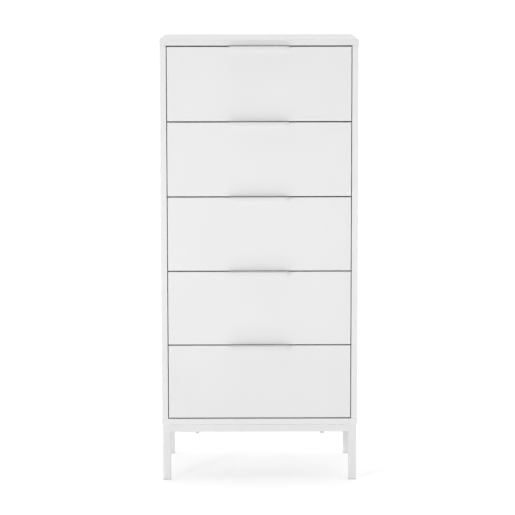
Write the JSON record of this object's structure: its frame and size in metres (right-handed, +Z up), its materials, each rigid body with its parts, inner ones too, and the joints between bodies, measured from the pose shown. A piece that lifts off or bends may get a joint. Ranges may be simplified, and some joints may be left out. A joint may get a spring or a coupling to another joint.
{
  "type": "tall chest of drawers",
  "caption": "Tall narrow chest of inset drawers with bent edge pulls, on a square tube base; the drawers slide on telescopic runners.",
  "frame": {"origin": "on the floor, at the middle of the whole chest's footprint with its handles", "axes": "+Z up, +Y towards the back, +X to the right as seen from the front"},
  "size_m": [0.5, 0.419, 1.127],
  "materials": {
    "white_board": "smooth satin white lacquer on fibreboard",
    "drawer_board": "matt white foil on chipboard",
    "white_fibreboard": "thin fibreboard, printed matt white",
    "white_steel": "fine white powder coat",
    "handle_steel": "fine white powder coat, a little greyer than the base",
    "zinc": "bright zinc plate",
    "foot_plastic": "milky moulded plastic"
  },
  "bodies": {
    "cabinet": {"top_board": "white_board", "bottom_board": "white_board", "left_side_panel": "white_board", "right_side_panel": "white_board", "back_panel": "white_fibreboard", "cam_fittings": "zinc", "left_leg_frame": "white_steel", "right_leg_frame": "white_steel", "front_rail": "white_steel", "rear_rail": "white_steel", "foot_caps": "foot_plastic", "frame_bolts": "zinc", "cabinet_runners": "zinc", "cabinet_screws": "zinc", "wall_bracket": "zinc"},
    "drawer_1": {"drawer_1_front": "white_board", "drawer_1_left_side": "drawer_board", "drawer_1_right_side": "drawer_board", "drawer_1_back": "drawer_board", "drawer_1_bottom": "white_fibreboard", "drawer_1_handle": "handle_steel", "drawer_1_screws": "zinc", "drawer_1_runner_inners": "zinc"},
    "runner_middle_1": {"drawer_1_runner_middles": "zinc"},
    "drawer_2": {"drawer_2_front": "white_board", "drawer_2_left_side": "drawer_board", "drawer_2_right_side": "drawer_board", "drawer_2_back": "drawer_board", "drawer_2_bottom": "white_fibreboard", "drawer_2_handle": "handle_steel", "drawer_2_screws": "zinc", "drawer_2_runner_inners": "zinc"},
    "runner_middle_2": {"drawer_2_runner_middles": "zinc"},
    "drawer_3": {"drawer_3_front": "white_board", "drawer_3_left_side": "drawer_board", "drawer_3_right_side": "drawer_board", "drawer_3_back": "drawer_board", "drawer_3_bottom": "white_fibreboard", "drawer_3_handle": "handle_steel", "drawer_3_screws": "zinc", "drawer_3_runner_inners": "zinc"},
    "runner_middle_3": {"drawer_3_runner_middles": "zinc"},
    "drawer_4": {"drawer_4_front": "white_board", "drawer_4_left_side": "drawer_board", "drawer_4_right_side": "drawer_board", "drawer_4_back": "drawer_board", "drawer_4_bottom": "white_fibreboard", "drawer_4_handle": "handle_steel", "drawer_4_screws": "zinc", "drawer_4_runner_inners": "zinc"},
    "runner_middle_4": {"drawer_4_runner_middles": "zinc"},
    "drawer_5": {"drawer_5_front": "white_board", "drawer_5_left_side": "drawer_board", "drawer_5_right_side": "drawer_board", "drawer_5_back": "drawer_board", "drawer_5_bottom": "white_fibreboard", "drawer_5_handle": "handle_steel", "drawer_5_screws": "zinc", "drawer_5_runner_inners": "zinc"},
    "runner_middle_5": {"drawer_5_runner_middles": "zinc"}
  },
  "joints": [
    {"name": "drawer_1_slide", "type": "slide", "parent": "cabinet", "child": "drawer_1", "axis": [0, -1, 0], "range_m": [0, 0.33]},
    {"name": "runner_middle_1_slide", "type": "slide", "parent": "cabinet", "child": "runner_middle_1", "axis": [0, -1, 0], "range_m": [0, 0.165]},
    {"name": "drawer_2_slide", "type": "slide", "parent": "cabinet", "child": "drawer_2", "axis": [0, -1, 0], "range_m": [0, 0.33]},
    {"name": "runner_middle_2_slide", "type": "slide", "parent": "cabinet", "child": "runner_middle_2", "axis": [0, -1, 0], "range_m": [0, 0.165]},
    {"name": "drawer_3_slide", "type": "slide", "parent": "cabinet", "child": "drawer_3", "axis": [0, -1, 0], "range_m": [0, 0.33]},
    {"name": "runner_middle_3_slide", "type": "slide", "parent": "cabinet", "child": "runner_middle_3", "axis": [0, -1, 0], "range_m": [0, 0.165]},
    {"name": "drawer_4_slide", "type": "slide", "parent": "cabinet", "child": "drawer_4", "axis": [0, -1, 0], "range_m": [0, 0.33]},
    {"name": "runner_middle_4_slide", "type": "slide", "parent": "cabinet", "child": "runner_middle_4", "axis": [0, -1, 0], "range_m": [0, 0.165]},
    {"name": "drawer_5_slide", "type": "slide", "parent": "cabinet", "child": "drawer_5", "axis": [0, -1, 0], "range_m": [0, 0.33]},
    {"name": "runner_middle_5_slide", "type": "slide", "parent": "cabinet", "child": "runner_middle_5", "axis": [0, -1, 0], "range_m": [0, 0.165]}
  ],
  "couplings": [
    {"joint": "runner_middle_1_slide", "follows": "drawer_1_slide", "ratio": 0.5},
    {"joint": "runner_middle_2_slide", "follows": "drawer_2_slide", "ratio": 0.5},
    {"joint": "runner_middle_3_slide", "follows": "drawer_3_slide", "ratio": 0.5},
    {"joint": "runner_middle_4_slide", "follows": "drawer_4_slide", "ratio": 0.5},
    {"joint": "runner_middle_5_slide", "follows": "drawer_5_slide", "ratio": 0.5}
  ]
}
